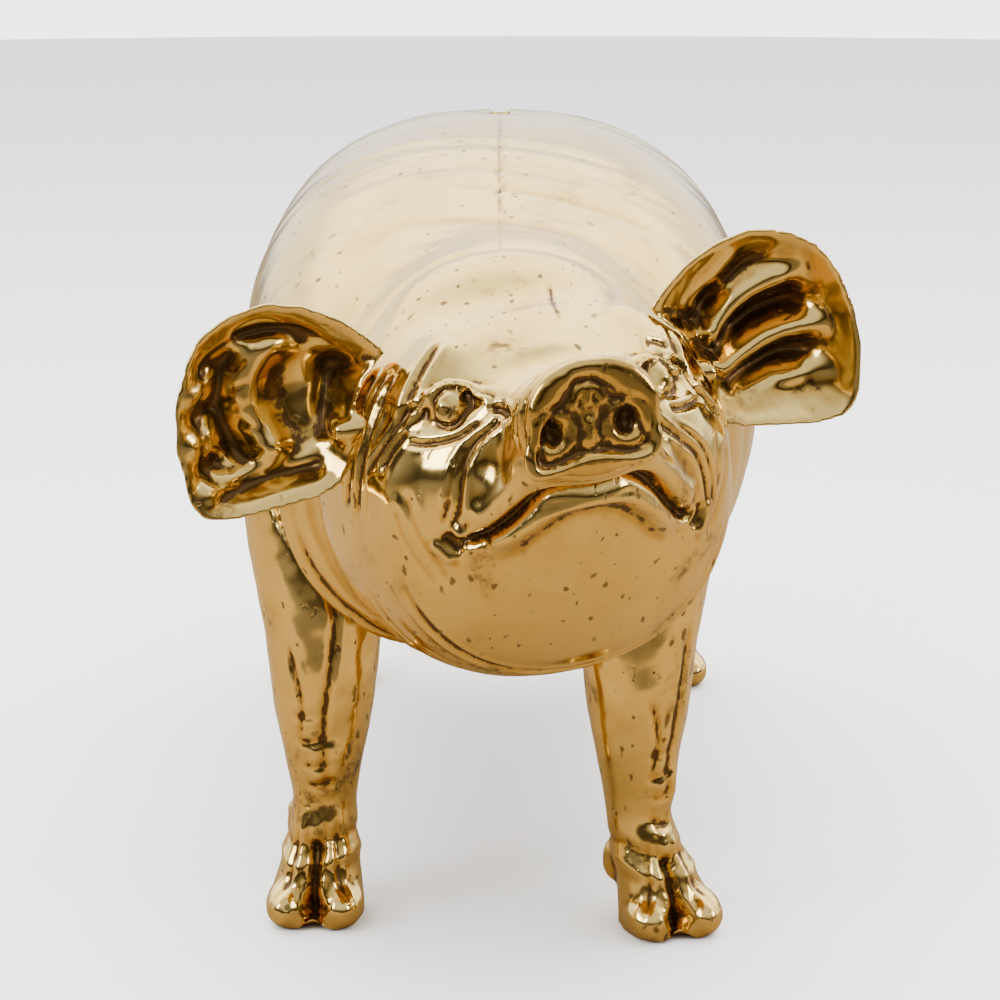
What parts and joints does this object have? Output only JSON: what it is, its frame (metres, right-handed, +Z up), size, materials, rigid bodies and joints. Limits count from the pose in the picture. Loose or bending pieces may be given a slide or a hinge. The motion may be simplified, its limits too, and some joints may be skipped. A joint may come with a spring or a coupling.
{
  "type": "pig still bank",
  "caption": "Standing pig coin bank in polished cast brass: two hollow body shells, hollow head with spread ears, coin slot in the back and a screwed trap in the belly.",
  "frame": {"origin": "on the floor, under the middle of the pig's outline seen from above", "axes": "+Z up, the pig faces -Y, its own left side is +X"},
  "size_m": [0.1401, 0.2986, 0.1742],
  "materials": {
    "polished_brass": "mirror polished casting with pits, fine brushed lines and dark patina left in the wrinkles",
    "dark_patina_brass": "polished on the ridges, brown-black patina in the hollows",
    "screw_brass": "turned, lightly tarnished",
    "trap_brass": "turned, satin",
    "pin_steel": "drawn",
    "washer_leather": "waxed"
  },
  "bodies": {
    "bank": {"body_right_half": "polished_brass", "body_left_half": "polished_brass", "head": "polished_brass", "ear_right": "dark_patina_brass", "ear_left": "dark_patina_brass", "leg_front_right": "polished_brass", "leg_front_left": "polished_brass", "leg_hind_right": "polished_brass", "leg_hind_left": "polished_brass", "tail": "polished_brass", "assembly_screw_front": "screw_brass", "assembly_screw_rear": "screw_brass", "square_nuts": "screw_brass", "locating_pins": "pin_steel", "trap_ring": "trap_brass"},
    "washer": {"plug_washer": "washer_leather"},
    "plug": {"trap_plug": "trap_brass"}
  },
  "joints": [
    {"name": "plug_travel", "type": "slide", "parent": "bank", "child": "washer", "axis": [0, 0, -1], "range_m": [0, 0.01]},
    {"name": "plug_turn", "type": "hinge", "parent": "washer", "child": "plug", "pos_m": [-0.00551, 0.02493, 0.0546], "axis": [0, 0, -1], "range_deg": [0, 1440]}
  ],
  "couplings": [
    {"joint": "plug_turn", "follows": "plug_travel", "rad_per_m": 2513.3}
  ]
}
